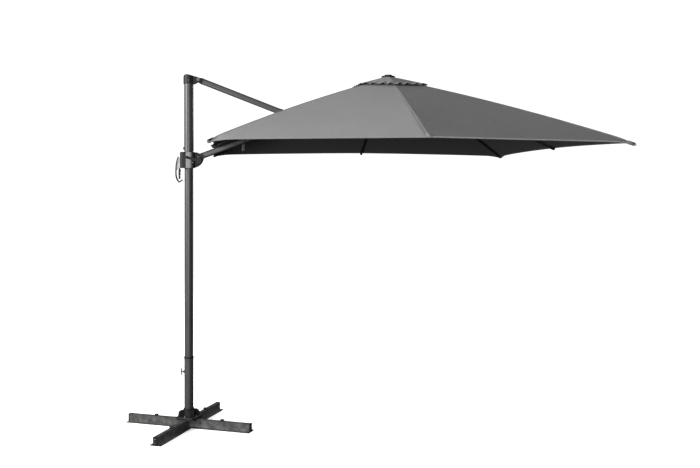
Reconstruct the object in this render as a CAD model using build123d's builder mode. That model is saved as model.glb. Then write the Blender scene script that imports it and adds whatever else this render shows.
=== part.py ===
# Cantilever parasol: square canopy on a side mast, cross base, slider linkage and crank.
# Millimetres, +Z up. Origin: mast axis at the floor. The boom points along +X.
from build123d import *
import os
from math import asin, atan2, cos, degrees, hypot, radians, sin, sqrt, tan

os.makedirs("parts", exist_ok=True)

# ---- driving dimensions ------------------------------------------------------------------
# canopy
canopy_side = 2500.0  # open square, hem to hem
hub_reach = 1400.0  # mast axis to canopy hub axis
corner_hem_z = 1919.0  # cloth height at the corners
mid_hem_z = 1941.0  # cloth height at the middle of each side
corner_bow = 21.0  # how far the corner ribs arch above a straight line
mid_bow = 10.0
cloth_t = 0.8
cloth_gap = 3.0  # between a rib's top and the cloth
vent_opening_r = 150.0
vent_side = 470.0
vent_inner_r = 26.0
vent_lift = 12.0  # the vent cap's edge above the main cloth

# linkage: strut and lower boom are equal links, so the slider runs straight down the mast
link_length = 754.0
slider_pivot_z = 1858.0
head_pivot_z = 2394.0
pivot_x = 64.0  # both mast-side pivots stand this far from the mast axis
pivot_pin_r = 6.0
pin_clearance = 0.08
part_gap = 0.25  # between fixed pieces of one assembly
fork_gap = 1.5  # each side, between a fork and what turns in it

# arms
arm_tube_h = 42.0
arm_tube_w = 28.0
arm_wall = 2.0
fork_length = 128.0  # free length of the strut's fork, which straddles boom and rib
fork_cheek_t = 5.5
cord_r = 2.0

# mast
lower_mast_r = 29.5
upper_mast_r = 32.5
mast_wall = 2.0
upper_mast_bottom_z = 1902.0
upper_mast_top_z = 2402.0
mast_overlap = 95.0  # lower tube pushed into the upper tube
head_bottom_z = 2364.0
head_top_z = 2428.0
head_wall = 5.0

# slider
slider_bottom_z = 1784.0
slider_top_z = 1894.0
slider_half_w = 46.0
slider_back_x = -60.0
slider_front_x = 42.0
liner_t = 4.0
slide_clearance = 0.6
cheek_t = 8.0
crank_x = 69.0
crank_z = 1834.0
crank_arm_length = 88.0
crank_arm_angle = 165.0  # degrees from +X towards +Z
housing_r = 25.0
housing_depth = 22.0
knob_r = 9.0
knob_length = 34.0
grip_half_w = 15.0

# hub and runner
rib_hinge_r = 38.0
rib_hinge_z = 2408.0
rib_w = 12.0
rib_h = 16.0
rib_wall = 1.2
rib_tip_inset = 12.0  # rib end inside the hem
hinge_pin_r = 2.5
slot_clearance = 0.6
hub_ring_r = 47.0
hub_ring_h = 22.0
post_r = 17.5
post_wall = 2.0
post_bottom_z = 2004.0
runner_r = 25.0
runner_h = 56.0
runner_clearance = 0.6
brace_pin_reach = 470.0  # along the rib, from its hinge to the brace's rivet
folded_angle = 6.5  # middle ribs from straight down when the canopy is closed
folded_corner_angle = 6.0
strap_t = 2.5
strap_h = 14.0
strap_gap = 0.6
finial_r = 50.0
finial_top_r = 25.0
finial_top_z = 2452.0

# base
leg_reach = 464.0
leg_turn = -24.95  # degrees of the long bar from the boom's direction
leg_box_w = 30.0
leg_height = 56.0
leg_wall = 2.0
flange_w = 80.0
flange_t = 4.0
cap_t = 8.0
plate_side = 130.0
plate_t = 5.0
plate_corner_r = 12.0
plate_bolt_r = 4.5
plate_bolt_inset = 34.0  # twice the bolt holes' distance from the plate's edge
cover_side = 141.0
cover_skirt_z = 78.0
cover_top_z = 125.0
cover_neck_r = 38.0
receiver_wall = 1.5
receiver_clearance = 0.5
receiver_top_z = 473.0
collar_h = 12.0
clamp_z = 380.0
clamp_bar = 48.0

# ---- values worked out from them -----------------------------------------------------------
pivot_gap = head_pivot_z - slider_pivot_z
link_angle = degrees(asin(pivot_gap / 2 / link_length))
boom_length = (hub_reach - pivot_x) / cos(radians(link_angle))
boom_end_z = slider_pivot_z + boom_length * sin(radians(link_angle))
strut_plane = Plane(
    origin=(pivot_x, 0, head_pivot_z),
    x_dir=(cos(radians(link_angle)), 0, -sin(radians(link_angle))),
    z_dir=(0, -1, 0),
)
boom_plane = Plane(
    origin=(pivot_x, 0, slider_pivot_z),
    x_dir=(cos(radians(link_angle)), 0, sin(radians(link_angle))),
    z_dir=(0, -1, 0),
)
fork_inside = arm_tube_w / 2 + fork_gap
fork_outside = fork_inside + fork_cheek_t
hub_bottom_z = rib_hinge_z - hub_ring_h / 2
hub_top_z = rib_hinge_z + hub_ring_h / 2
receiver_bore_r = lower_mast_r + receiver_clearance
receiver_r = receiver_bore_r + receiver_wall
plate_top_z = leg_height + plate_t
bush_top_z = plate_top_z + 6.0


def rib_plane(azimuth):
    """Upright plane through the hub axis: local x runs outwards, local y is height."""
    a = radians(azimuth)
    return Plane(
        origin=(hub_reach, 0, 0),
        x_dir=(cos(a), sin(a), 0),
        z_dir=(sin(a), -cos(a), 0),
    )


def is_corner(azimuth):
    return round(azimuth / 45) % 2 == 1


def rib_ends(azimuth):
    """Hinge and tip of a rib's centre line, in its own plane, and its bow."""
    corner = is_corner(azimuth)
    reach = canopy_side / 2 * (sqrt(2) if corner else 1) - rib_tip_inset
    hem_z = corner_hem_z if corner else mid_hem_z
    drop = rib_h / 2 + cloth_gap + cloth_t
    slope = (rib_hinge_z - hem_z) / reach
    tip_z = hem_z + rib_tip_inset * slope - drop * sqrt(1 + slope * slope)
    return (rib_hinge_r, rib_hinge_z), (reach, tip_z), corner_bow if corner else mid_bow


def on_arc(start, end, bow, share, lift=0.0):
    """A point of the arched line from start to end, raised square to the line by lift."""
    dx, dz = end[0] - start[0], end[1] - start[1]
    length = hypot(dx, dz)
    rise = 4 * bow * share * (1 - share) + lift
    return (start[0] + dx * share - dz / length * rise, start[1] + dz * share + dx / length * rise)


def brace_pin(azimuth, reach):
    """The brace rivet's place on a rib: its point, distance from the hinge and angle from down."""
    start, end, bow = rib_ends(azimuth)
    point = on_arc(start, end, bow, reach / hypot(end[0] - start[0], end[1] - start[1]))
    dx, dz = point[0] - start[0], start[1] - point[1]
    return point, hypot(dx, dz), degrees(atan2(dx, dz))


# middle ribs and their braces are equal links, so the runner hangs straight below the hub
_, brace_length, mid_pin_angle = brace_pin(0, brace_pin_reach)
runner_drop_open = 2 * brace_length * cos(radians(mid_pin_angle))
runner_drop_closed = 2 * brace_length * cos(radians(folded_angle))
fold_turn = mid_pin_angle - folded_angle
runner_pivot_z = rib_hinge_z - runner_drop_open

# corner braces: the rivet's reach that lets both end positions be met exactly
corner_reach = brace_pin_reach
for _ in range(12):
    _, corner_link, corner_angle = brace_pin(45, corner_reach)
    wanted = (runner_drop_closed**2 - runner_drop_open**2) / (
        2
        * (
            runner_drop_closed * cos(radians(folded_corner_angle))
            - runner_drop_open * cos(radians(corner_angle))
        )
    )
    corner_reach += wanted - corner_link
_, corner_link, corner_angle = brace_pin(45, corner_reach)
corner_fold_ratio = (corner_angle - folded_corner_angle) / fold_turn


def brace_angle(link, angle, drop):
    """A brace's angle from straight up, for a rib at that angle and the runner at that drop."""
    return degrees(atan2(link * sin(radians(angle)), drop - link * cos(radians(angle))))


corner_brace_open = brace_angle(corner_link, corner_angle, runner_drop_open)
corner_brace_folded = brace_angle(corner_link, folded_corner_angle, runner_drop_closed)
corner_brace_turn = corner_angle + corner_brace_open - folded_corner_angle - corner_brace_folded
corner_brace_ratio = corner_brace_turn / fold_turn

azimuths = [45.0 * i for i in range(8)]
braced = [a for a in azimuths if a != 180.0]


def save(builder, name):
    builder.part.label = name
    export_step(builder.part, f"parts/{name}.step")


def arm_section(inset, mode=Mode.ADD):
    """The arms' flat-sided oval section, drawn smaller by inset."""
    corner_r = arm_tube_w * 0.45 - inset
    RectangleRounded(arm_tube_w - 2 * inset, arm_tube_h - 2 * inset, corner_r, mode=mode)


def arm_tube(plane, start, end):
    """Hollow oval tube along a link's local x axis."""
    across = Plane(origin=plane.from_local_coords((start, 0, 0)), x_dir=plane.z_dir, z_dir=plane.x_dir)
    with BuildPart() as tube:
        with BuildSketch(across):
            arm_section(0)
            arm_section(arm_wall, Mode.SUBTRACT)
        extrude(amount=end - start)
    return tube.part


def spigot(plane, start, end):
    """The plug of an end fitting, from start to end along a link, inside its tube."""
    low = min(start, end)
    across = Plane(origin=plane.from_local_coords((low, 0, 0)), x_dir=plane.z_dir, z_dir=plane.x_dir)
    with BuildSketch(across, mode=Mode.PRIVATE) as section:
        arm_section(arm_wall + part_gap)
    extrude(section.sketch, amount=abs(end - start))


# ---- base -----------------------------------------------------------------------------------
def leg_profile(start, flange_from, end, name, turn):
    """One inverted-T leg bar along its own x axis: a hollow box on a wide flat flange."""
    own = Plane.XY.rotated((0, 0, turn))
    with BuildPart() as leg:
        with BuildSketch(own):
            with Locations(((start + end) / 2, 0)):
                Rectangle(end - start, leg_box_w)
        extrude(amount=leg_height)
        with BuildSketch(own.offset(flange_t)):
            with Locations(((start + end) / 2, 0)):
                Rectangle(end - start + 2, leg_box_w - 2 * leg_wall)
        extrude(amount=leg_height - flange_t - leg_wall, mode=Mode.SUBTRACT)
        with BuildSketch(own):
            with Locations(((flange_from + end) / 2, 0)):
                Rectangle(end - flange_from, flange_w)
        extrude(amount=flange_t)
        if start < 0:
            notch = flange_w / 2 - leg_box_w / 2
            with BuildSketch(own):
                for side in (-1, 1):
                    with Locations((0, side * (leg_box_w / 2 + notch / 2))):
                        Rectangle(leg_box_w + 2 * part_gap, notch)
            extrude(amount=flange_t, mode=Mode.SUBTRACT)
    save(leg, name)


leg_end = leg_reach - cap_t
leg_profile(-leg_end, -leg_end, leg_end, "base_bar", leg_turn)
leg_profile(leg_box_w / 2 + part_gap, flange_w / 2 + part_gap, leg_end, "base_arm_far", leg_turn + 90)
leg_profile(leg_box_w / 2 + part_gap, flange_w / 2 + part_gap, leg_end, "base_arm_near", leg_turn - 90)

cap_plug = 18.0
cap_lip = 1.0
for index in range(4):
    own = Plane.XY.rotated((0, 0, leg_turn + 90 * index))
    with BuildPart() as base_cap:
        with BuildSketch(own):
            with Locations((leg_end + cap_t / 2, 0)):
                Rectangle(cap_t, leg_box_w + 2 * cap_lip)
        extrude(amount=leg_height + cap_lip)
        with BuildSketch(own):
            with Locations((leg_end + cap_t / 2, 0)):
                Rectangle(cap_t, flange_w + 2 * cap_lip)
        extrude(amount=flange_t + cap_lip)
        with BuildSketch(own.offset(flange_t + part_gap)):
            with Locations((leg_end - cap_plug / 2, 0)):
                Rectangle(cap_plug, leg_box_w - 2 * leg_wall - 2 * part_gap)
        extrude(amount=leg_height - flange_t - leg_wall - 2 * part_gap)
    save(base_cap, f"base_cap_{index + 1}")

with BuildPart() as base_plate:
    with BuildSketch(Plane.XY.offset(leg_height).rotated((0, 0, leg_turn))):
        RectangleRounded(plate_side, plate_side, plate_corner_r)
        with GridLocations(plate_side - plate_bolt_inset, plate_side - plate_bolt_inset, 2, 2):
            Circle(plate_bolt_r, mode=Mode.SUBTRACT)
    extrude(amount=plate_t)
save(base_plate, "base_plate")

gusset_t = 30.0
with BuildPart() as hub_cover:
    with BuildSketch(Plane.XY.offset(leg_height + part_gap).rotated((0, 0, leg_turn))):
        RectangleRounded(cover_side, cover_side, 28)
    extrude(amount=cover_skirt_z - leg_height - part_gap)
    fillet(hub_cover.edges().group_by(Axis.Z)[-1], 6)
    with BuildSketch(Plane.XY.offset(cover_skirt_z)):
        Circle(cover_neck_r)
    extrude(amount=cover_top_z - cover_skirt_z)
    for turn in range(4):
        gusset_plane = Plane.XZ.rotated((0, 0, leg_turn + 45 + 90 * turn))
        with BuildSketch(gusset_plane):
            with BuildLine():
                Polyline(
                    (cover_neck_r - 6, cover_skirt_z - 2),
                    (cover_side / 2 + 2, cover_skirt_z - 2),
                    (cover_side / 2, cover_top_z - 22),
                    (cover_side / 2 - 8, cover_top_z - 10),
                    (cover_neck_r - 6, cover_top_z - 6),
                    close=True,
                )
            make_face()
        extrude(amount=gusset_t / 2, both=True)
    with BuildSketch(Plane.XY.offset(leg_height).rotated((0, 0, leg_turn))):
        Rectangle(plate_side + 2, plate_side + 2)
    extrude(amount=plate_t + 2 * part_gap, mode=Mode.SUBTRACT)
    with BuildSketch(Plane.XY.offset(leg_height)):
        Circle(receiver_r + part_gap)
    extrude(amount=cover_top_z, mode=Mode.SUBTRACT)
save(hub_cover, "hub_cover")

boss_r = 9.0
boss_out = 8.0
clamp_stem_r = 4.0
with BuildPart() as receiver_tube:
    with BuildSketch(Plane.XY.offset(plate_top_z)):
        Circle(receiver_r)
    extrude(amount=receiver_top_z - plate_top_z)
    with BuildSketch(Plane.YZ.offset(-receiver_r - boss_out)):
        with Locations((0, clamp_z)):
            Circle(boss_r)
    extrude(amount=boss_out + receiver_wall)
    with BuildSketch(Plane.XY.offset(plate_top_z)):
        Circle(receiver_bore_r)
    extrude(amount=receiver_top_z - plate_top_z, mode=Mode.SUBTRACT)
    with BuildSketch(Plane.YZ.offset(-receiver_r - boss_out)):
        with Locations((0, clamp_z)):
            Circle(clamp_stem_r + pin_clearance)
    extrude(amount=boss_out + 2 * receiver_wall, mode=Mode.SUBTRACT)
save(receiver_tube, "receiver_tube")

with BuildPart() as receiver_collar:
    with BuildSketch(Plane.XY.offset(receiver_top_z)):
        Circle(receiver_r + 2)
        Circle(receiver_bore_r, mode=Mode.SUBTRACT)
    extrude(amount=collar_h)
    fillet(receiver_collar.edges().group_by(Axis.Z)[-1].sort_by(SortBy.RADIUS)[-1], 1.4)
save(receiver_collar, "receiver_collar")

with BuildPart() as swivel_bush:
    with BuildSketch(Plane.XY.offset(plate_top_z)):
        Circle(receiver_bore_r - part_gap)
    extrude(amount=bush_top_z - plate_top_z)
save(swivel_bush, "swivel_bush")

clamp_neck = 5.0
clamp_head_t = 9.0
with BuildPart() as wing_screw:
    with BuildSketch(Plane.YZ.offset(-receiver_r - boss_out - clamp_neck)):
        with Locations((0, clamp_z)):
            Circle(clamp_stem_r)
    extrude(amount=boss_out + clamp_neck)
    with BuildSketch(Plane.YZ.offset(-receiver_r - boss_out - clamp_neck)):
        with Locations((0, clamp_z)):
            SlotOverall(clamp_bar, 13, rotation=90)
    extrude(amount=-clamp_head_t)
    fillet(wing_screw.edges().group_by(Axis.X)[0], 2.5)
save(wing_screw, "wing_screw")

# ---- mast -----------------------------------------------------------------------------------
with BuildPart() as mast_lower:
    with BuildSketch(Plane.XY.offset(bush_top_z + part_gap)):
        Circle(lower_mast_r)
        Circle(lower_mast_r - mast_wall, mode=Mode.SUBTRACT)
    extrude(amount=upper_mast_bottom_z + mast_overlap - bush_top_z - part_gap)
save(mast_lower, "mast_lower")

stop_bolt_z = upper_mast_bottom_z + 18.0
stop_bolt_r = 5.0
with BuildPart() as mast_upper:
    with BuildSketch(Plane.XY.offset(upper_mast_bottom_z)):
        Circle(upper_mast_r)
        Circle(lower_mast_r + part_gap, mode=Mode.SUBTRACT)
    extrude(amount=upper_mast_top_z - upper_mast_bottom_z)
    with BuildSketch(Plane.YZ.offset(-upper_mast_r - 1)):
        with Locations((0, stop_bolt_z)):
            Circle(stop_bolt_r + part_gap)
    extrude(amount=8, mode=Mode.SUBTRACT)
save(mast_upper, "mast_upper")

with BuildPart() as mast_bolt:
    with BuildSketch(Plane.YZ.offset(-upper_mast_r - 1)):
        with Locations((0, stop_bolt_z)):
            Circle(stop_bolt_r)
    extrude(amount=3.6)
    with BuildSketch(Plane.YZ.offset(-upper_mast_r - 0.3)):
        with Locations((0, stop_bolt_z)):
            Circle(9)
    extrude(amount=-6)
    fillet(mast_bolt.edges().group_by(Axis.X)[0], 3)
save(mast_bolt, "mast_bolt")

head_r = upper_mast_r + head_wall
ear_r = 14.0
ear_half_w = fork_outside + 4.0
with BuildPart() as mast_head:
    with BuildSketch(Plane.XZ):
        with BuildLine():
            Polyline(
                (-head_r, head_bottom_z),
                (-head_r, head_top_z - 12),
                (-head_r + 10, head_top_z - 1),
                (-8, head_top_z),
                (pivot_x, head_pivot_z + ear_r + 2),
                (pivot_x + ear_r, head_pivot_z + 4),
                (pivot_x + ear_r, head_pivot_z - 6),
                (pivot_x, head_pivot_z - ear_r - 2),
                (head_r, head_bottom_z),
                close=True,
            )
        make_face()
    extrude(amount=head_r, both=True)
    with BuildSketch(Plane.XY.offset(head_bottom_z - 1), mode=Mode.PRIVATE) as head_plan:
        Circle(head_r)
        with Locations(((pivot_x + ear_r) / 2, 0)):
            Rectangle(pivot_x + ear_r, 2 * ear_half_w)
    extrude(head_plan.sketch, amount=head_top_z - head_bottom_z + 2, mode=Mode.INTERSECT)
    with BuildSketch(Plane.XY.offset(head_bottom_z - 1)):
        Circle(upper_mast_r + part_gap)
    extrude(amount=upper_mast_top_z - head_bottom_z + 1.5, mode=Mode.SUBTRACT)
    with BuildSketch(Plane.XY.offset(head_bottom_z - 1)):
        with Locations((pivot_x + 20, 0)):
            Rectangle(40 + 2 * (ear_r + fork_gap), 2 * fork_inside)
    extrude(amount=head_top_z - head_bottom_z + 2, mode=Mode.SUBTRACT)
    with BuildSketch(Plane.XZ):
        with Locations((pivot_x, head_pivot_z)):
            Circle(pivot_pin_r + 0.1)
    extrude(amount=ear_half_w + 2, both=True, mode=Mode.SUBTRACT)
save(mast_head, "mast_head")


def pivot_pin(centre_x, centre_z, from_y, to_y, heads, name):
    """A round pin along Y with flat heads at the given ends."""
    with BuildPart() as pin:
        with BuildSketch(Plane.XZ.offset(-to_y)):
            with Locations((centre_x, centre_z)):
                Circle(pivot_pin_r)
        extrude(amount=to_y - from_y)
        for y, grow in heads:
            with BuildSketch(Plane.XZ.offset(-y)):
                with Locations((centre_x, centre_z)):
                    Circle(pivot_pin_r + 4)
            extrude(amount=grow)
    save(pin, name)


pin_head_t = 4.0
head_face = ear_half_w + part_gap
pivot_pin(
    pivot_x, head_pivot_z, -head_face, head_face,
    [(head_face, -pin_head_t), (-head_face, pin_head_t)], "head_pin",
)

# ---- strut -----------------------------------------------------------------------------------
eye_r = 14.0
eye_to_tube = 32.0
spigot_length = 38.0
strut_tube_end = link_length - fork_length - 22.0


def eye_fitting(plane, name):
    """End fitting of an arm: a bored eye at the link's start and a plug in the tube."""
    with BuildPart() as fitting:
        with BuildSketch(plane):
            Circle(eye_r)
            with BuildLine():
                Polyline(
                    (0, eye_r),
                    (eye_to_tube - 6, arm_tube_h / 2),
                    (eye_to_tube, arm_tube_h / 2),
                    (eye_to_tube, -arm_tube_h / 2),
                    (eye_to_tube - 6, -arm_tube_h / 2),
                    (0, -eye_r),
                    close=True,
                )
            make_face()
            Circle(pivot_pin_r + pin_clearance, mode=Mode.SUBTRACT)
        extrude(amount=arm_tube_w / 2, both=True)
        spigot(plane, eye_to_tube, eye_to_tube + spigot_length)
    save(fitting, name)


eye_fitting(strut_plane, "strut_eye")
with BuildPart() as strut_tube:
    add(arm_tube(strut_plane, eye_to_tube, strut_tube_end))
save(strut_tube, "strut_tube")

with BuildPart() as strut_fork:
    with BuildSketch(strut_plane):
        with BuildLine():
            Polyline(
                (strut_tube_end, arm_tube_h / 2),
                (link_length - fork_length, arm_tube_h / 2),
                (link_length, eye_r + 2),
                (link_length, -eye_r - 2),
                (link_length - fork_length, -arm_tube_h / 2),
                (strut_tube_end, -arm_tube_h / 2),
                close=True,
            )
        make_face()
        with Locations((link_length, 0)):
            Circle(eye_r + 2)
    extrude(amount=fork_outside, both=True)
    with BuildSketch(strut_plane):
        with Locations((link_length - fork_length / 2 + 20, 0)):
            Rectangle(fork_length + 40, arm_tube_h + 10)
    extrude(amount=fork_inside, both=True, mode=Mode.SUBTRACT)
    with BuildSketch(strut_plane):
        with Locations((link_length, 0)):
            Circle(pivot_pin_r + 0.1)
    extrude(amount=fork_outside + 2, both=True, mode=Mode.SUBTRACT)
    spigot(strut_plane, strut_tube_end - spigot_length, strut_tube_end)
save(strut_fork, "strut_fork")

joint_x = pivot_x + link_length * cos(radians(link_angle))
joint_z = slider_pivot_z + pivot_gap / 2
fork_face = fork_outside + part_gap
pivot_pin(
    joint_x, joint_z, -fork_face, fork_face,
    [(fork_face, -pin_head_t), (-fork_face, pin_head_t)], "strut_pin",
)

# ---- boom ------------------------------------------------------------------------------------
head_block = 58.0  # the hub casting's arm, measured from the hub axis
eye_fitting(boom_plane, "boom_foot")
boom_tube_end = boom_length - head_block
with BuildPart() as boom_tube:
    add(arm_tube(boom_plane, eye_to_tube, boom_tube_end))
    with BuildSketch(boom_plane):
        with Locations((link_length, 0)):
            Circle(pivot_pin_r + pin_clearance)
    extrude(amount=arm_tube_w, both=True, mode=Mode.SUBTRACT)
save(boom_tube, "boom_tube")

sleeve_r = post_r + 6.0
sleeve_bottom_z = boom_end_z - 34.0
with BuildPart() as boom_head:
    with BuildSketch(Plane.XY.offset(sleeve_bottom_z)):
        with Locations((hub_reach, 0)):
            Circle(sleeve_r)
    extrude(amount=hub_bottom_z - part_gap - sleeve_bottom_z)
    with BuildSketch(boom_plane):
        with Locations((boom_length - head_block / 2, 0)):
            Rectangle(head_block, arm_tube_h)
    extrude(amount=arm_tube_w / 2, both=True)
    spigot(boom_plane, boom_tube_end - spigot_length, boom_tube_end)
    with BuildSketch(Plane.XY.offset(sleeve_bottom_z - 40)):
        with Locations((hub_reach, 0)):
            Circle(post_r + part_gap)
    extrude(amount=160, mode=Mode.SUBTRACT)
    with BuildSketch(boom_plane):
        with Locations((boom_length - head_block, 0)):
            Rectangle(3 * head_block, 2 * (cord_r + 1))
    extrude(amount=cord_r + 1, both=True, mode=Mode.SUBTRACT)
save(boom_head, "boom_head")

cord_start = eye_to_tube + spigot_length + 4
with BuildPart() as lift_cord:
    across = Plane(
        origin=boom_plane.from_local_coords((cord_start, -12, 0)),
        x_dir=boom_plane.z_dir,
        z_dir=boom_plane.x_dir,
    )
    with BuildSketch(across):
        Circle(cord_r)
    extrude(amount=link_length - cord_start + 500)
save(lift_cord, "lift_cord")

# ---- slider ----------------------------------------------------------------------------------
liner_bore_r = lower_mast_r + slide_clearance
liner_r = liner_bore_r + liner_t
cheek_in = fork_inside
cheek_out = cheek_in + cheek_t
cheek_reach = 38.0
with BuildPart() as slider_body:
    with BuildSketch(Plane.XY.offset(slider_bottom_z)):
        with Locations(((slider_back_x + slider_front_x) / 2, 0)):
            RectangleRounded(slider_front_x - slider_back_x, 2 * slider_half_w, 20)
    extrude(amount=slider_top_z - slider_bottom_z)
    fillet(slider_body.edges().group_by(Axis.Z)[-1], 5)
    with BuildSketch(Plane.XZ):
        with BuildLine():
            Polyline(
                (20, slider_top_z - 4),
                (pivot_x - 10, slider_top_z - 2),
                (pivot_x + cheek_reach, slider_pivot_z + 14),
                (pivot_x + cheek_reach, slider_pivot_z),
            )
            ThreePointArc(
                (pivot_x + cheek_reach, slider_pivot_z),
                (pivot_x + 12, slider_bottom_z + 20),
                (20, slider_bottom_z + 1),
            )
            Line((20, slider_bottom_z + 1), (20, slider_top_z - 4))
        make_face()
    extrude(amount=cheek_out, both=True)
    with BuildSketch(Plane.XZ):
        with Locations((pivot_x + 60, slider_pivot_z)):
            Rectangle(120 + 2 * (eye_r + fork_gap), 240)
    extrude(amount=cheek_in, both=True, mode=Mode.SUBTRACT)
    with BuildSketch(Plane.XY.offset(slider_bottom_z - 1)):
        Circle(liner_r + part_gap)
    extrude(amount=slider_top_z - slider_bottom_z + 2, mode=Mode.SUBTRACT)
    with BuildSketch(Plane.XZ):
        with Locations((pivot_x, slider_pivot_z)):
            Circle(pivot_pin_r + 0.1)
    extrude(amount=cheek_out + 1, both=True, mode=Mode.SUBTRACT)
save(slider_body, "slider_body")

with BuildPart() as slider_liner:
    with BuildSketch(Plane.XY.offset(slider_bottom_z + 1)):
        Circle(liner_r)
        Circle(liner_bore_r, mode=Mode.SUBTRACT)
    extrude(amount=slider_top_z - slider_bottom_z - 2)
save(slider_liner, "slider_liner")

slider_pin_face = cheek_out + part_gap
pivot_pin(
    pivot_x, slider_pivot_z, -cheek_out + 1, slider_pin_face,
    [(slider_pin_face, -pin_head_t)], "slider_pin",
)

shaft_r = 5.0
with BuildPart() as crank_housing:
    with BuildSketch(Plane.XZ.offset(cheek_out + part_gap)):
        with Locations((crank_x, crank_z)):
            Circle(housing_r)
    extrude(amount=housing_depth)
    fillet(crank_housing.edges().group_by(Axis.Y)[0], 4)
    with BuildSketch(Plane.XZ.offset(cheek_out + part_gap + housing_depth)):
        with Locations((crank_x, crank_z)):
            Circle(shaft_r + pin_clearance)
    extrude(amount=-14, mode=Mode.SUBTRACT)
save(crank_housing, "crank_housing")

crank_plane_y = cheek_out + part_gap + housing_depth + 1.0
crank_t = 9.0
knob_x = crank_x + crank_arm_length * cos(radians(crank_arm_angle))
knob_z = crank_z + crank_arm_length * sin(radians(crank_arm_angle))
crank_local = Plane(
    origin=(crank_x, -crank_plane_y, crank_z),
    x_dir=(cos(radians(crank_arm_angle)), 0, sin(radians(crank_arm_angle))),
    z_dir=(0, -1, 0),
)
with BuildPart() as crank_arm:
    with BuildSketch(crank_local):
        Circle(17)
        with BuildLine():
            Polyline((0, 10), (crank_arm_length, 8), (crank_arm_length, -8), (0, -10), close=True)
        make_face()
        with Locations((crank_arm_length, 0)):
            Circle(8)
    extrude(amount=crank_t)
    with BuildSketch(crank_local):
        Circle(shaft_r)
    extrude(amount=-12)
    with BuildSketch(crank_local.offset(crank_t)):
        with Locations((crank_arm_length, 0)):
            Circle(3.5)
    extrude(amount=knob_length - 4)
save(crank_arm, "crank_arm")

with BuildPart() as crank_knob:
    with BuildSketch(crank_local.offset(crank_t + 0.5)):
        with Locations((crank_arm_length, 0)):
            Circle(knob_r)
    extrude(amount=knob_length)
    fillet(crank_knob.edges().group_by(Axis.Y)[0], 4)
    fillet(crank_knob.edges().group_by(Axis.Y)[-1], 1.5)
    with BuildSketch(crank_local.offset(crank_t)):
        with Locations((crank_arm_length, 0)):
            Circle(3.5 + pin_clearance)
    extrude(amount=knob_length - 3.5, mode=Mode.SUBTRACT)
save(crank_knob, "crank_knob")

# the hand grip hangs behind the slider: an outer shell, a light core plate and a squeeze trigger
grip_top_z = 1862.0
grip_bottom_z = 1682.0
trigger_pivot_x = slider_back_x - 6.0
trigger_pivot_z = 1790.0
trigger_pin_r = 2.0
trigger_half_w = grip_half_w - 5.0
with BuildPart() as grip_shell:
    with BuildSketch(Plane.XZ):
        with BuildLine():
            outer = Spline(
                (slider_back_x - 15, grip_top_z),
                (slider_back_x - 28, 1818),
                (slider_back_x - 32, 1768),
                (slider_back_x - 25, 1706),
                (slider_back_x - 7, grip_bottom_z),
            )
            Line(outer @ 1, (slider_back_x + 19, 1698))
            Line((slider_back_x + 19, 1698), (slider_back_x + 15, 1706))
            Line((slider_back_x + 15, 1706), (slider_back_x - 5, 1692))
            inner = Spline(
                (slider_back_x - 5, 1692),
                (slider_back_x - 17, 1712),
                (slider_back_x - 24, 1768),
                (slider_back_x - 20.5, 1818),
                (slider_back_x - 8, grip_top_z),
            )
            Line(inner @ 1, outer @ 0)
        make_face()
    extrude(amount=grip_half_w, both=True)
save(grip_shell, "grip_shell")

with BuildPart() as grip_core:
    with BuildSketch(Plane.XZ):
        with BuildLine():
            Polyline(
                (slider_back_x - part_gap, grip_top_z - 8),
                (slider_back_x - 8, grip_top_z - 8),
                (slider_back_x - 19, 1818),
                (slider_back_x - 22.5, 1768),
                (slider_back_x - 17, 1772),
                (slider_back_x - 12, 1810),
                (slider_back_x - part_gap, 1816),
                close=True,
            )
        make_face()
    extrude(amount=grip_half_w - 4, both=True)
    with BuildSketch(Plane.XZ):
        with Locations(((trigger_pivot_x - 8 + slider_back_x - part_gap) / 2, trigger_pivot_z + 9)):
            Rectangle(slider_back_x - part_gap - trigger_pivot_x + 8, 30)
    extrude(amount=trigger_half_w + 3.4, both=True)
    with BuildSketch(Plane.XZ):
        with Locations((trigger_pivot_x, trigger_pivot_z)):
            Rectangle(60, 40)
    extrude(amount=trigger_half_w + 0.4, both=True, mode=Mode.SUBTRACT)
    with BuildSketch(Plane.XZ):
        with Locations((trigger_pivot_x, trigger_pivot_z)):
            Circle(trigger_pin_r)
    extrude(amount=trigger_half_w + 3, both=True)
save(grip_core, "grip_core")

wave = 3.0
with BuildPart() as grip_trigger:
    with BuildSketch(Plane.XZ):
        with BuildLine():
            front = [(trigger_pivot_x + 3.5, trigger_pivot_z - 4)]
            for step in range(7):
                bulge = wave if step % 2 else 0
                front.append((trigger_pivot_x + 9 + bulge - step * 0.6, trigger_pivot_z - 16 - 11 * step))
            fingers = Spline(*front)
            back_low = (trigger_pivot_x - 3, trigger_pivot_z - 82)
            back_mid = (trigger_pivot_x - 5, trigger_pivot_z - 40)
            back_high = (trigger_pivot_x - 3, trigger_pivot_z - 4)
            Polyline(fingers @ 1, back_low, back_mid, back_high, fingers @ 0)
        make_face()
        with Locations((trigger_pivot_x, trigger_pivot_z)):
            Circle(5)
        with Locations((trigger_pivot_x, trigger_pivot_z)):
            Circle(trigger_pin_r + pin_clearance, mode=Mode.SUBTRACT)
    extrude(amount=trigger_half_w, both=True)
save(grip_trigger, "grip_trigger")

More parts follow.
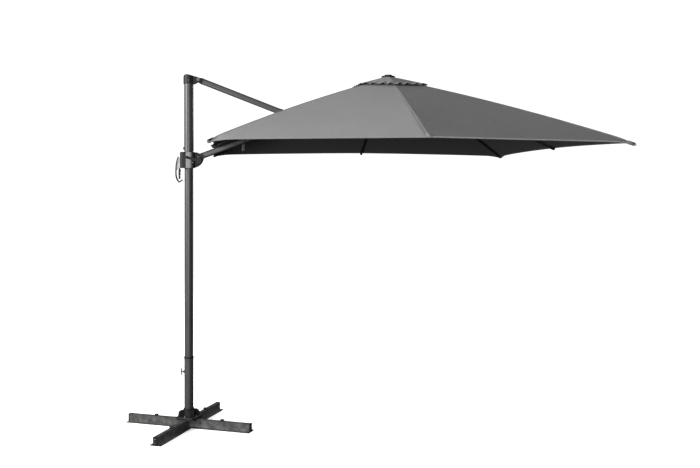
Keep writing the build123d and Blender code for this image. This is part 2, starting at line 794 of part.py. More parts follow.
# ---- hub, post, runner -----------------------------------------------------------------------
with BuildPart() as hub_ring:
    with BuildSketch(Plane.XY.offset(hub_bottom_z)):
        with Locations((hub_reach, 0)):
            Circle(hub_ring_r)
    extrude(amount=hub_ring_h)
    for azimuth in azimuths:
        own = rib_plane(azimuth)
        with BuildSketch(own):
            with Locations((rib_hinge_r + 20, rib_hinge_z)):
                Rectangle(40 + rib_h + 2.0, hub_ring_h + 10)
        extrude(amount=rib_w / 2 + slot_clearance, both=True, mode=Mode.SUBTRACT)
    for azimuth in azimuths:
        own = rib_plane(azimuth)
        with BuildSketch(own):
            with Locations((rib_hinge_r, rib_hinge_z)):
                Circle(hinge_pin_r)
        extrude(amount=rib_w / 2 + 3, both=True)
    with BuildSketch(Plane.XY.offset(hub_bottom_z)):
        with Locations((hub_reach, 0)):
            Circle(post_r + part_gap)
    extrude(amount=hub_ring_h, mode=Mode.SUBTRACT)
save(hub_ring, "hub_ring")

with BuildPart() as hub_post:
    with BuildSketch(Plane.XY.offset(post_bottom_z)):
        with Locations((hub_reach, 0)):
            Circle(post_r)
            Circle(post_r - post_wall, mode=Mode.SUBTRACT)
    extrude(amount=hub_top_z - post_bottom_z)
save(hub_post, "hub_post")

finial_brim_z = hub_top_z + 18.0
with BuildPart() as finial:
    with BuildSketch(Plane.XZ):
        with BuildLine():
            Polyline(
                (0, hub_top_z + part_gap),
                (16, hub_top_z + part_gap),
                (16, finial_brim_z),
                (finial_r, finial_brim_z),
                (finial_r, finial_brim_z + 4),
                (finial_r - 8, finial_brim_z + 7),
                (finial_top_r + 3, finial_brim_z + 10),
                (finial_top_r, finial_top_z),
                (0, finial_top_z),
                close=True,
            )
        make_face()
    revolve(axis=Axis.Z)
finial.part = Pos(hub_reach, 0, 0) * finial.part
save(finial, "finial")

lug_h = 18.0
with BuildPart() as runner:
    with BuildSketch(Plane.XY.offset(runner_pivot_z - runner_h + 12)):
        with Locations((hub_reach, 0)):
            Circle(runner_r)
    extrude(amount=runner_h)
    for azimuth in braced:
        own = rib_plane(azimuth)
        with BuildSketch(own):
            with Locations((rib_hinge_r - 8, runner_pivot_z)):
                Rectangle(24, lug_h)
            with Locations((rib_hinge_r, runner_pivot_z)):
                Circle(lug_h / 2)
        extrude(amount=rib_w / 2, both=True)
        if not is_corner(azimuth):
            with BuildSketch(own):
                with Locations((rib_hinge_r, runner_pivot_z)):
                    Circle(hinge_pin_r)
            extrude(amount=rib_w / 2 + strap_gap + strap_t + 1.5, both=True)
    with BuildSketch(Plane.XY.offset(runner_pivot_z - runner_h)):
        with Locations((hub_reach, 0)):
            Circle(post_r + runner_clearance)
    extrude(amount=2 * runner_h, mode=Mode.SUBTRACT)
save(runner, "runner")

# ---- ribs and braces -------------------------------------------------------------------------
for index, azimuth in enumerate(azimuths):
    start, end, bow = rib_ends(azimuth)
    pin, _, _ = brace_pin(azimuth, corner_reach if is_corner(azimuth) else brace_pin_reach)
    own = rib_plane(azimuth)
    with BuildPart() as rib:
        with BuildSketch(own):
            with BuildLine(mode=Mode.PRIVATE) as centre:
                ThreePointArc(start, on_arc(start, end, bow, 0.5), end)
            SlotArc(centre.edges()[0], rib_h)
        extrude(amount=rib_w / 2, both=True)
        with BuildSketch(own):
            SlotArc(centre.edges()[0], rib_h - 2 * rib_wall)
        extrude(amount=rib_w / 2 - rib_wall, both=True, mode=Mode.SUBTRACT)
        with BuildSketch(own):
            with Locations(start):
                Circle(hinge_pin_r + 1.5)
        extrude(amount=rib_w / 2, both=True)
        with BuildSketch(own):
            with Locations(start):
                Circle(hinge_pin_r + pin_clearance)
        extrude(amount=rib_w, both=True, mode=Mode.SUBTRACT)
        if azimuth in braced:
            with BuildSketch(own):
                with Locations(pin):
                    Circle(hinge_pin_r)
            extrude(amount=rib_w / 2 + strap_gap + strap_t + 1.5, both=True)
    save(rib, f"rib_{index}")

for azimuth in braced:
    pin, _, _ = brace_pin(azimuth, corner_reach if is_corner(azimuth) else brace_pin_reach)
    foot = (rib_hinge_r, runner_pivot_z)
    middle = ((pin[0] + foot[0]) / 2, (pin[1] + foot[1]) / 2)
    length = hypot(pin[0] - foot[0], pin[1] - foot[1])
    lean = degrees(atan2(pin[1] - foot[1], pin[0] - foot[0]))
    own = rib_plane(azimuth)
    strap_in = rib_w / 2 + strap_gap
    with BuildPart() as brace:
        with BuildSketch(own):
            with Locations(middle):
                SlotCenterToCenter(length, strap_h, rotation=lean)
        extrude(amount=strap_in + strap_t, both=True)
        with BuildSketch(own):
            for side in (-1, 1):
                with Locations(
                    Location((
                        middle[0] + side * (length / 4 + 10) * cos(radians(lean)),
                        middle[1] + side * (length / 4 + 10) * sin(radians(lean)),
                        0,
                    ))
                ):
                    Rectangle(length / 2, strap_h + 4, rotation=lean)
        extrude(amount=strap_in, both=True, mode=Mode.SUBTRACT)
        for point in (pin, foot):
            with BuildSketch(own):
                with Locations(point):
                    Circle(hinge_pin_r + pin_clearance)
            extrude(amount=strap_in + 2 * strap_t, both=True, mode=Mode.SUBTRACT)
    save(brace, f"brace_{azimuths.index(azimuth)}")

saddle_x = hub_reach - canopy_side / 2 + 38.0
saddle_start, saddle_end, saddle_bow = rib_ends(180)
saddle_length = 26.0
boom_slope = tan(radians(link_angle))
half_boom_rise = arm_tube_h / 2 / cos(radians(link_angle))
rib_slope = (saddle_start[1] - saddle_end[1]) / (saddle_end[0] - saddle_start[0])
rib_rise = rib_h / 2 * sqrt(1 + rib_slope * rib_slope)
with BuildPart() as rib_saddle:
    with BuildSketch(Plane.XZ):
        corners_low = []
        corners_high = []
        for x in (saddle_x - saddle_length / 2, saddle_x + saddle_length / 2):
            low = slider_pivot_z + (x - pivot_x) * boom_slope + half_boom_rise + part_gap
            high = saddle_end[1] + (x - hub_reach + saddle_end[0]) * rib_slope - rib_rise - part_gap
            corners_low.append((x, low))
            corners_high.append((x, high))
        with BuildLine():
            Polyline(corners_low[0], corners_low[1], corners_high[1], corners_high[0], close=True)
        make_face()
    extrude(amount=rib_w / 2 + 1, both=True)
save(rib_saddle, "rib_saddle")


# ---- cloth -----------------------------------------------------------------------------------
def cloth_ridge(azimuth, inner_r, reach_share, lift):
    """The cloth's line over a rib, from inner_r to a share of the hem's reach."""
    start, end, bow = rib_ends(azimuth)
    top = rib_h / 2 + cloth_gap + lift
    hem_reach = canopy_side / 2 * (sqrt(2) if is_corner(azimuth) else 1)
    span = end[0] - start[0]
    last = (reach_share * hem_reach - start[0]) / span
    first = (inner_r - start[0]) / span
    points = [on_arc(start, end, bow, s, top) for s in (first, (first + last) / 2, last)]
    own = rib_plane(azimuth)
    return Edge.make_three_point_arc(*[own.from_local_coords(p + (0,)) for p in points])


def cloth_sheet(inner_r, reach_share, lift):
    """Eight ruled panels between neighbouring ridges, with the cloth's thickness."""
    with BuildPart() as sheet:
        for i in range(8):
            one = cloth_ridge(azimuths[i], inner_r, reach_share, lift)
            two = cloth_ridge(azimuths[(i + 1) % 8], inner_r, reach_share, lift)
            panel = Face.make_surface_from_curves(one, two)
            extrude(panel, amount=cloth_t, dir=(0, 0, 1))
    return sheet.part


strut_opening = 170.0
with BuildPart() as canopy:
    add(cloth_sheet(vent_opening_r, 1.0, 0.0))
    with BuildSketch(Plane.XY.offset(boom_end_z - 600)):
        with Locations((joint_x - strut_opening / 2 + 42, 0)):
            RectangleRounded(strut_opening, 2 * (fork_outside + pin_head_t + 6), 20)
    extrude(amount=700, mode=Mode.SUBTRACT)
save(canopy, "canopy")

with BuildPart() as vent_cap:
    add(cloth_sheet(vent_inner_r, vent_side / canopy_side, vent_lift))
save(vent_cap, "vent_cap")

print(f"link angle {link_angle:.3f} boom length {boom_length:.2f} boom end z {boom_end_z:.2f}")
print(f"joint Q {joint_x:.2f} {joint_z:.2f} runner pivot z {runner_pivot_z:.2f}")
print(f"fold turn {fold_turn:.3f} brace {brace_length:.2f} mid angle {mid_pin_angle:.3f}")
print(f"corner reach {corner_reach:.2f} ratio {corner_fold_ratio:.4f} brace {corner_brace_ratio:.4f}")
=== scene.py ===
import bpy
import bmesh
import math
from mathutils import Matrix, Vector


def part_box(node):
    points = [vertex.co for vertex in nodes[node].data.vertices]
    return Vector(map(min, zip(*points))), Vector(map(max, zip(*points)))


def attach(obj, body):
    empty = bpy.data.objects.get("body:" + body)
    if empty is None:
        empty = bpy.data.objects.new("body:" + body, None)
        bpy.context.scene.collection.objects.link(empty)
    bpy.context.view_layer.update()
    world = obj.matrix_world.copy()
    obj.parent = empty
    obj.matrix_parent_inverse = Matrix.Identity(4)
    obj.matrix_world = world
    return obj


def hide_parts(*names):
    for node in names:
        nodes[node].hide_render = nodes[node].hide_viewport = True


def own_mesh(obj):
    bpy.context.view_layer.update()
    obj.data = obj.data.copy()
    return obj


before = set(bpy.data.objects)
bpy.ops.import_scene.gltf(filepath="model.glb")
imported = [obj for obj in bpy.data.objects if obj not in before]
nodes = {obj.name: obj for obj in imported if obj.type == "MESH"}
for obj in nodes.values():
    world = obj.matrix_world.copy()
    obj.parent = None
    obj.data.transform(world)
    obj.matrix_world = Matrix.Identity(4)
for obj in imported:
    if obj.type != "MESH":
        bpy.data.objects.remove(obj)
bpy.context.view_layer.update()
view = bpy.context.scene
print("frame loaded,", len(nodes), "nodes")


# camera, floor and sky
studio = dict(
    eye=(0.249, -6.003, 1.673),
    turn=-0.1447,
    lens=43.98,
    shiftY=-0.0713,
    floorSize=700,
    behind=1.12,  # sky brightness past the object, in front of it, and under the floor
    before=0.40,
    below=0.15,
    frontToBack=(-0.5, 0.3),  # where the sky turns from one to the other
    floorToSky=(-0.06, -0.01),
)

eyeData = bpy.data.cameras.new("eye")
eyeData.lens = studio["lens"]
eyeData.sensor_width = 36
eyeData.shift_y = studio["shiftY"]
eyeData.clip_end = 1500
eye = bpy.data.objects.new("eye", eyeData)
eye.location = studio["eye"]
eye.rotation_euler = (math.pi / 2, 0, studio["turn"])
view.collection.objects.link(eye)
view.camera = eye
view.view_settings.view_transform = "Standard"

sky = bpy.data.worlds.new("sky")
sky.use_nodes = True
skyNodes = sky.node_tree.nodes
skyPlace = skyNodes.new("ShaderNodeTexCoord")
skySplit = skyNodes.new("ShaderNodeSeparateXYZ")
sky.node_tree.links.new(skyPlace.outputs["Generated"], skySplit.inputs[0])


def skyBand(axis, low, high, darkest, brightest):
    # the sky goes from one brightness to another along an axis
    band = skyNodes.new("ShaderNodeMapRange")
    limits = {"From Min": low, "From Max": high, "To Min": darkest, "To Max": brightest}
    for key, value in limits.items():
        band.inputs[key].default_value = value
    sky.node_tree.links.new(skySplit.outputs[axis], band.inputs["Value"])
    return band.outputs[0]


skyTimes = skyNodes.new("ShaderNodeMath")
skyTimes.operation = "MULTIPLY"
skyDepth = skyBand("Y", *studio["frontToBack"], studio["before"], studio["behind"])
skyHeight = skyBand("Z", *studio["floorToSky"], studio["below"], 1.0)
sky.node_tree.links.new(skyDepth, skyTimes.inputs[0])
sky.node_tree.links.new(skyHeight, skyTimes.inputs[1])
sky.node_tree.links.new(skyTimes.outputs[0], skyNodes["Background"].inputs["Strength"])
skyNodes["Background"].inputs["Color"].default_value = (1, 1, 1, 1)
view.world = sky
sky.cycles_visibility.glossy = False  # only the lamps show in the paint


lamps = dict(
    sideLight=dict(place=(-6.1, -2.7, 3.4), aim=(1.2, 0, 2.0), size=2.2, watts=1150),
    frontLight=dict(place=(-1.4, -6.8, 1.6), aim=(0.1, 0, 1.3), size=1.2, watts=440),
    rearLight=dict(place=(4.5, 5.5, 3.2), aim=(0.6, 0, 1.6), size=2.6, watts=200),
)


def softLight(name, place, aim, size, watts):
    data = bpy.data.lights.new(name, "AREA")
    data.shape = "DISK"
    data.size = size
    data.energy = watts
    lamp = bpy.data.objects.new(name, data)
    lamp.location = place
    lamp.rotation_euler = (Vector(aim) - Vector(place)).to_track_quat("-Z", "Y").to_euler()
    view.collection.objects.link(lamp)


for lampName, lampFacts in lamps.items():
    softLight(lampName, **lampFacts)
print("camera, sky and lamps set")


# one output socket; arithmetic on it adds Math nodes to its finish
class Wire:
    def __init__(self, finish, socket):
        self.finish = finish
        self.socket = socket

    def __add__(self, other):
        return self.finish.maths("ADD", self, other)

    def __sub__(self, other):
        return self.finish.maths("SUBTRACT", self, other)

    def __rsub__(self, other):
        return self.finish.maths("SUBTRACT", other, self)

    def __mul__(self, other):
        return self.finish.maths("MULTIPLY", self, other)

    __radd__ = __add__
    __rmul__ = __mul__


# a material, its shader and the few calls that build a node pattern
class Finish:
    def __init__(self, name, **fixed):
        self.material = bpy.data.materials.new(name)
        self.material.use_nodes = True
        self.tree = self.material.node_tree
        self.shader = self.tree.nodes["Principled BSDF"]
        for key, value in fixed.items():
            self.shader.inputs[key.replace("_", " ")].default_value = value

    def add(self, kind, settings, inputs, out=0):
        made = self.tree.nodes.new(kind)
        for key, value in settings.items():
            if key == "stops":
                for step, (place, shade) in zip(made.color_ramp.elements, value):
                    step.position = place
                    step.color = (shade, shade, shade, 1)
            else:
                setattr(made, key, value)
        for key, value in inputs.items():
            self.join(value, made.inputs[key])
        return Wire(self, made.outputs[out])

    def join(self, value, socket):
        if isinstance(value, Wire):
            self.tree.links.new(value.socket, socket)
        else:
            socket.default_value = value

    def maths(self, operation, first, second=0.0):
        return self.add("ShaderNodeMath", dict(operation=operation), {0: first, 1: second})

    def grain(self, place, scale, detail=2.0, rough=0.5):
        values = {"Vector": place, "Scale": scale, "Detail": detail, "Roughness": rough}
        return self.add("ShaderNodeTexNoise", {}, values)

    def stretched(self, place, scale):
        return self.add("ShaderNodeMapping", {}, {"Vector": place, "Scale": scale})

    def axis(self, place, number):
        return self.add("ShaderNodeSeparateXYZ", {}, {0: place}, number)

    def span(self, value, low, high, atLow, atHigh):
        return self.add("ShaderNodeMapRange", {}, {"Value": value, 1: low, 2: high, 3: atLow, 4: atHigh})

    def blendOf(self, share, low, high):
        return self.add("ShaderNodeMix", dict(data_type="RGBA"), {0: share, 6: low, 7: high}, 2)

    def ramp(self, value, *stops):
        return self.add("ShaderNodeValToRGB", dict(stops=stops), {0: value})

    def own(self):
        return self.add("ShaderNodeTexCoord", {}, {}, "Object")

    def feed(self, **values):
        for key, value in values.items():
            self.join(value, self.shader.inputs[key.replace("_", " ")])

    def bump(self, height, distance, strength=1.0):
        values = {"Height": height, "Distance": distance, "Strength": strength}
        self.feed(Normal=self.add("ShaderNodeBump", {}, values))


def grey(value, warm=0.0):
    return (value * (1 + warm), value, value * (1 - warm), 1)


def powderCoat(name, dark, light, rough, dustTop):
    # baked powder paint: fine orange peel, faint mottling, dust near the ground
    f = Finish(name, Specular_IOR_Level=0.3)
    place = f.own()
    mottle = f.ramp(f.grain(place, 9.0, 4.0), (0.35, 0.0), (0.7, 1.0))
    speck = f.ramp(f.grain(place, 420.0, 2.0), (0.62, 0.0), (0.75, 1.0))
    low = f.span(f.axis(place, 2), 0.0, dustTop, 1.0, 0.0)
    dust = low * f.ramp(f.grain(place, 26.0, 5.0, 0.65), (0.42, 0.0), (0.72, 1.0))
    paint = f.blendOf(mottle * 0.6 + speck * 0.25, grey(dark), grey(light))
    f.feed(Base_Color=f.blendOf(dust * 0.55, paint, grey(0.16, 0.05)))
    f.feed(Roughness=rough + mottle * 0.06 + dust * 0.3)
    orangePeel = f.grain(place, 900.0, 1.0) * 0.6 + f.grain(place, 260.0, 1.0) * 0.4
    f.bump(orangePeel, 0.00012, 0.5)
    return f.material


def mouldedPlastic(name, dark, light, rough, grainSize=1500.0):
    # spark-eroded grain, scuffs that dull it in patches
    f = Finish(name, Specular_IOR_Level=0.16)
    place = f.own()
    patch = f.grain(place, 22.0, 5.0, 0.6)
    scuff = f.ramp(f.grain(place, 130.0, 4.0, 0.7), (0.6, 0.0), (0.72, 1.0))
    f.feed(Base_Color=f.blendOf(patch * 0.7 + scuff * 0.3, grey(dark), grey(light)))
    f.feed(Roughness=rough + patch * 0.1 + scuff * 0.08)
    f.bump(f.grain(place, grainSize, 2.0), 0.00008, 0.6)
    return f.material


def sliderShell(name, faceY, middleX, halfX):
    # black moulding with a light insert across its front face, its lightness partly a painted reflection
    # off the rounded front, and darker towards the boom as painted shade
    f = Finish(name, Specular_IOR_Level=0.14)
    place = f.own()
    x = f.axis(place, 0)
    y = f.axis(place, 1)
    patch = f.grain(place, 22.0, 5.0, 0.6)
    left = f.span(x, middleX - halfX - 0.0015, middleX - halfX, 0.0, 1.0)
    # the insert fades out towards the boom: painted shade
    right = f.span(x, middleX + halfX * 0.4, middleX + halfX * 1.5, 1.0, 0.0)
    insertAndShade = f.maths("LESS_THAN", y, faceY) * left * right
    black = f.blendOf(patch, grey(0.007), grey(0.014))
    f.feed(Base_Color=f.blendOf(insertAndShade, black, f.blendOf(patch, grey(0.13), grey(0.18))))
    f.feed(Roughness=0.50 - insertAndShade * 0.1 + patch * 0.08)
    f.bump(f.grain(place, 1500.0, 2.0), 0.00008, 0.6)
    return f.material


def turnedSteel(name):
    # blackened steel with fine turning lines
    f = Finish(name, Metallic=1.0)
    place = f.own()
    lines = f.grain(f.stretched(place, (60.0, 2400.0, 60.0)), 1.0, 3.0)
    spot = f.ramp(f.grain(place, 160.0, 4.0, 0.7), (0.6, 0.0), (0.75, 1.0))
    f.feed(Base_Color=f.blendOf(spot, grey(0.13), grey(0.07, 0.06)))
    f.feed(Roughness=0.46 + lines * 0.14 + spot * 0.2)
    f.bump(lines, 0.00005, 0.5)
    return f.material


def wovenCloth(name, dark, light, rough, yarn=0.0011, ripple=0.35, panelShade=0.0):
    # plain weave on the piece's own UV, in metres: yarns over and under, slubs, slow fading
    f = Finish(name, Specular_IOR_Level=0.14, Sheen_Weight=0.04, Sheen_Roughness=0.6)
    flat = f.add("ShaderNodeUVMap", dict(uv_map="cut"), {})
    across = f.axis(flat, 0) * (math.pi / yarn)
    along = f.axis(flat, 1) * (math.pi / yarn)
    weft = f.maths("SINE", across)
    warp = f.maths("SINE", along)
    weave = f.maths("ABSOLUTE", weft) * 0.5 + f.maths("ABSOLUTE", warp) * 0.5 + weft * warp * 0.25
    slub = f.grain(f.stretched(flat, (900.0, 30.0, 1.0)), 1.0, 2.0) * 0.5
    slub = slub + f.grain(f.stretched(flat, (30.0, 900.0, 1.0)), 1.0, 2.0) * 0.5
    fade = f.grain(f.own(), 2.2, 4.0, 0.55)
    tone = weave * 0.3 + slub * 0.45 + fade * 0.35
    colour = f.blendOf(f.ramp(tone, (0.25, 0.0), (0.85, 1.0)), grey(dark), grey(light))
    if panelShade:  # every other panel is painted darker: painted shade for the light falling differently on the two sides of a rib; whether the real cloth differs is a guess
        # the grain attribute is 1 on every other panel; it marks where shade is painted, not a grain of
        # the cut
        shadedPanel = f.add("ShaderNodeAttribute", dict(attribute_name="grain"), {}, 2)
        colour = f.blendOf(shadedPanel * panelShade, colour, grey(0.03))
    f.feed(Base_Color=colour)
    f.feed(Roughness=rough + slub * 0.1)
    soft = f.grain(f.stretched(flat, (6.0, 1.6, 1.0)), 1.0, 3.0)
    f.bump(weave * 0.012 + slub * 0.01 + soft * ripple, 0.02, 0.6)
    return f.material


def stitchedCloth(name, dark, light, rough, rows, pitch=0.0042, beat=2850.0):
    # a folded band: the weave, and sewing thread along given distances from its edge
    f = Finish(name, Specular_IOR_Level=0.3, Sheen_Weight=0.12)
    flat = f.add("ShaderNodeUVMap", dict(uv_map="cut"), {})
    across = f.axis(flat, 0)
    along = f.axis(flat, 1)
    weft = f.maths("ABSOLUTE", f.maths("SINE", across * beat))
    warp = f.maths("ABSOLUTE", f.maths("SINE", along * beat))
    weave = weft * warp
    slub = f.grain(f.stretched(flat, (500.0, 500.0, 1.0)), 1.0, 3.0)
    dash = f.maths("GREATER_THAN", f.maths("SINE", along * (2 * math.pi / pitch)), -0.55)
    thread = 0.0
    for row in rows:
        near = f.maths("LESS_THAN", f.maths("ABSOLUTE", across - row), 0.0009)
        thread = near * dash + thread
    cloth = f.blendOf(weave * 0.4 + slub * 0.5, grey(dark), grey(light))
    f.feed(Base_Color=f.blendOf(thread, cloth, grey(light * 1.5)))
    f.feed(Roughness=rough + slub * 0.08)
    f.bump(weave * 0.2 + thread * 0.8, 0.0006, 0.7)
    return f.material


looks = dict(
    steel_paint=powderCoat("steelPaint", 0.026, 0.036, 0.40, 0.09),
    alu_coat=powderCoat("armCoat", 0.032, 0.044, 0.38, 0.01),
    black_plastic=mouldedPlastic("blackPlastic", 0.006, 0.013, 0.48),
    light_plastic=mouldedPlastic("lightPlastic", 0.26, 0.34, 0.38),
    pin_steel=turnedSteel("pinSteel"),
    cord=mouldedPlastic("liftCord", 0.012, 0.03, 0.6, 500.0),
    # every other panel of this cloth is painted darker, as painted shade
    cloth=wovenCloth("canopyCloth", 0.132, 0.181, 0.70, panelShade=0.64),
)
# the underside is the same cloth painted far darker: painted shade for the dim light under the canopy
shadedUnderCloth = wovenCloth("canopyUndersideShade", 0.034, 0.052, 0.85)
hemCloth = stitchedCloth("hemCloth", 0.108, 0.145, 0.6, (0.003, 0.015))
# the hem's underside is likewise painted darker, as painted shade
shadedUnderHem = stitchedCloth("hemUndersideShade", 0.022, 0.032, 0.8, (0.003, 0.015))
seamCloth = stitchedCloth("seamCloth", 0.072, 0.105, 0.6, (-0.0035, 0.0035))
pocketCloth = stitchedCloth("pocketCloth", 0.11, 0.16, 0.6, (-0.020, 0.020))
threadCloth = stitchedCloth("strapCloth", 0.055, 0.085, 0.7, (-0.009, 0.009))
ribPaint = powderCoat("ribPaint", 0.014, 0.022, 0.42, 0.01)
# the light insert on the slider's front: partly painted reflection, fading into painted shade towards
# the boom
insertAndShade = dict(middleX=-0.003, halfX=0.016, depth=0.0015)
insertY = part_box("slider_body")[0].y + insertAndShade["depth"]
sliderFace = sliderShell("sliderShell", insertY, insertAndShade["middleX"], insertAndShade["halfX"])
for nodeName, node in nodes.items():
    for i, old in enumerate(node.data.materials):
        node.data.materials[i] = looks[old.name]
        if nodeName.startswith(("rib_", "brace_")) and old.name == "alu_coat":
            node.data.materials[i] = ribPaint
        if nodeName == "slider_body":
            node.data.materials[i] = sliderFace
print("finishes made,", len(bpy.data.materials), "materials")


# turns a bmesh into a finished piece that rides on a body
def keep(mesh, name, look, body, smooth=True, fixNormals=True):
    if fixNormals:
        bmesh.ops.recalc_face_normals(mesh, faces=mesh.faces)
    data = bpy.data.meshes.new(name)
    mesh.to_mesh(data)
    mesh.free()
    for m in look if isinstance(look, (list, tuple)) else [look]:
        data.materials.append(m)
    data.polygons.foreach_set("use_smooth", [smooth] * len(data.polygons))
    piece = bpy.data.objects.new(name, data)
    view.collection.objects.link(piece)
    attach(piece, body)
    return piece


# canopy cloth
canopy = dict(
    centre=Vector((1.400, 0.0, 0.0)),
    half=1.250,
    hingeR=0.038,
    hingeZ=2.408,
    tipInset=0.012,
    ribHeight=0.016,
    clothGap=0.003,
    cornerHemZ=1.919,
    midHemZ=1.941,
    cornerBow=0.021,
    midBow=0.010,
    openingR=0.150,
    sag=0.019,  # how far the cloth dips between two ribs
    hemArch=0.030,  # how far the hem is cut in between two ribs
    cornerDroop=0.016,  # how far a corner hangs past its rib
    droopFrom=0.93,
    pocketLength=0.052,
    pocketWidth=0.024,
    thick=0.0009,
    across=36,
    along=44,
    closedShare=0.11,  # width left in a closed gore
)
hub = canopy["centre"]


def azimuthOf(i):
    return math.radians(45 * i)


def ridgePoint(i, share, lift):
    # the line of the cloth over rib i; share 1 is the hem
    corner = i % 2 == 1
    hemR = canopy["half"] * (math.sqrt(2) if corner else 1)
    reach = hemR - canopy["tipInset"]
    hemZ = canopy["cornerHemZ"] if corner else canopy["midHemZ"]
    bow = canopy["cornerBow"] if corner else canopy["midBow"]
    drop = canopy["ribHeight"] / 2 + canopy["clothGap"] + 0.0008
    slope = (canopy["hingeZ"] - hemZ) / reach
    tipZ = hemZ + canopy["tipInset"] * slope - drop * math.hypot(1, slope)
    dx = reach - canopy["hingeR"]
    dz = tipZ - canopy["hingeZ"]
    length = math.hypot(dx, dz)
    part = share * (hemR - canopy["hingeR"]) / dx
    rise = 4 * bow * part * (1 - part) + canopy["ribHeight"] / 2 + canopy["clothGap"] + lift
    r = canopy["hingeR"] + dx * part - dz / length * rise
    z = canopy["hingeZ"] + dz * part + dx / length * rise
    a = azimuthOf(i)
    return hub + Vector((r * math.cos(a), r * math.sin(a), z))


def clothPoint(i, side, share, lift, arch=1.0):
    # side runs from -1 to 1 across the gore of rib i, half-way to each neighbour
    t = abs(side) / 2
    between = 4 * t * (1 - t)
    share = share * (1 - canopy["hemArch"] / 1.25 * between * arch * share ** 6)
    near = ridgePoint(i, share, lift)
    far = ridgePoint((i + (1 if side > 0 else -1)) % 8, share, lift)
    point = near.lerp(far, t)
    outer = min(max((share - 0.3) / 0.5, 0.0), 1.0)  # taut over the braces, slacker towards the hem
    point.z -= canopy["sag"] * between * outer * outer * (3 - 2 * outer) * (1 - 0.55 * share ** 8)
    if i % 2 == 1 and share > canopy["droopFrom"]:
        late = (share - canopy["droopFrom"]) / (1 - canopy["droopFrom"])
        point.z -= canopy["cornerDroop"] * late ** 2 * max(0.0, 1 - abs(side) * 5) ** 1.5
    return point


def sheetMesh(place, columns, rows, cut):
    # a flat grid, each point carried to its place on the curved cloth
    mesh = bmesh.new()
    bmesh.ops.create_grid(mesh, x_segments=columns, y_segments=rows, size=1)
    layer = mesh.loops.layers.uv.new("cut")
    for face in mesh.faces:
        for loop in face.loops:
            loop[layer].uv = cut(loop.vert.co.x, (loop.vert.co.y + 1) / 2)
    for vert in mesh.verts:
        vert.co = place(vert.co.x, (vert.co.y + 1) / 2)
    return mesh


def thicken(mesh, thick):
    # the sheet gets its other side and a rim, with the rim's edges sharp
    for vert in mesh.verts:
        vert.normal_update()
    shell = bmesh.ops.extrude_face_region(mesh, geom=mesh.faces[:])
    raised = [item for item in shell["geom"] if isinstance(item, bmesh.types.BMVert)]
    for vert in raised:
        vert.co.z += thick
    bmesh.ops.recalc_face_normals(mesh, faces=mesh.faces)
    if sum(face.normal.z * (face.calc_center_median().z) for face in mesh.faces) < 0:
        bmesh.ops.reverse_faces(mesh, faces=mesh.faces)
    for edge in mesh.edges:
        edge.smooth = edge.calc_face_angle(0) < 0.6


def bodyOfRib(i):
    return "boom" if i == 4 else f"rib_{i}"


def closeUp(piece, i):
    # the piece gets its own copy of its mesh
    a = azimuthOf(i)
    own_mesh(piece)


# the strut comes down to the boom through an opening in the cloth of rib 4
opening = dict(lowX=0.6408, highX=0.8108, halfY=0.0300, binding=0.011)


def cutOpening(mesh, grow=0.0):
    lowX = opening["lowX"] - grow
    highX = opening["highX"] + grow
    halfY = opening["halfY"] + grow
    alongX, alongY = (1, 0, 0), (0, 1, 0)
    cuts = [((x, 0, 0), alongX) for x in (lowX, highX)]
    cuts += [((0, y, 0), alongY) for y in (halfY, -halfY)]
    for place, way in cuts:
        everything = mesh.verts[:] + mesh.edges[:] + mesh.faces[:]
        bmesh.ops.bisect_plane(mesh, geom=everything, dist=1e-6, plane_co=place, plane_no=way)
    inside, outside = [], []
    for face in mesh.faces:
        centre = face.calc_center_median()
        within = lowX < centre.x < highX and abs(centre.y) < halfY
        (inside if within else outside).append(face)
    return inside, outside


def clothPiece(name, i, place, columns, rows, cut, looksUsed, thick):
    # looksUsed: the outer side first, then the inner one if it differs; an inner look is a darker copy
    # of the outer cloth, painted shade for the dim light under the canopy
    mesh = sheetMesh(place, columns, rows, cut)
    if i == 4 and not name.startswith("vent"):
        if name.startswith("strut"):  # the opening's binding is a ring cut from the same cloth
            _, beyond = cutOpening(mesh, opening["binding"])
            bmesh.ops.delete(mesh, geom=beyond, context="FACES")
        inside, _ = cutOpening(mesh)
        bmesh.ops.delete(mesh, geom=inside, context="FACES")
    area = sum(face.calc_area() for face in mesh.faces)
    # the grain attribute marks every other panel round the hub, where the cloth's finish paints shade
    grain = mesh.verts.layers.float.new("grain")
    for vert in mesh.verts:
        offset = Vector((vert.co.x - hub.x, vert.co.y - hub.y, 0))
        panel = math.floor(math.degrees(math.atan2(offset.y, offset.x)) / 45) % 8
        vert[grain] = 1.0 if panel % 2 == 0 else 0.0
    thicken(mesh, thick)
    if len(looksUsed) > 1:
        # faces turned down take the inner look, the painted shade
        for face in mesh.faces:
            face.material_index = 1 if face.normal.z < -0.3 else 0
    return keep(mesh, name, looksUsed, bodyOfRib(i), fixNormals=False), area


sewing = dict(
    hemWidth=0.018,  # the folded hem
    hemThick=0.0011,
    seamHalf=0.006,
    layer=0.0009,  # how far one layer of cloth lifts the next
    bindingThick=0.0016,
    cutHalf=0.52,  # half the width that the weave is laid out over
    midCut=1.04,  # given widths, not measured: the sheets are 1.22 and 0.87 across
    cornerCut=1.48,
)
openShare = (canopy["openingR"] - canopy["hingeR"]) / (canopy["half"] - canopy["hingeR"])
halfWide = sewing["cutHalf"]
hemWidth = sewing["hemWidth"]
layer = sewing["layer"]


def declareSheet(size, area):
    # the area is this sheet's own, raised where it falls under 0.31 of width times length
    whole = size[0] * size[1]
    area = min(max(area, 0.31 * whole), whole)


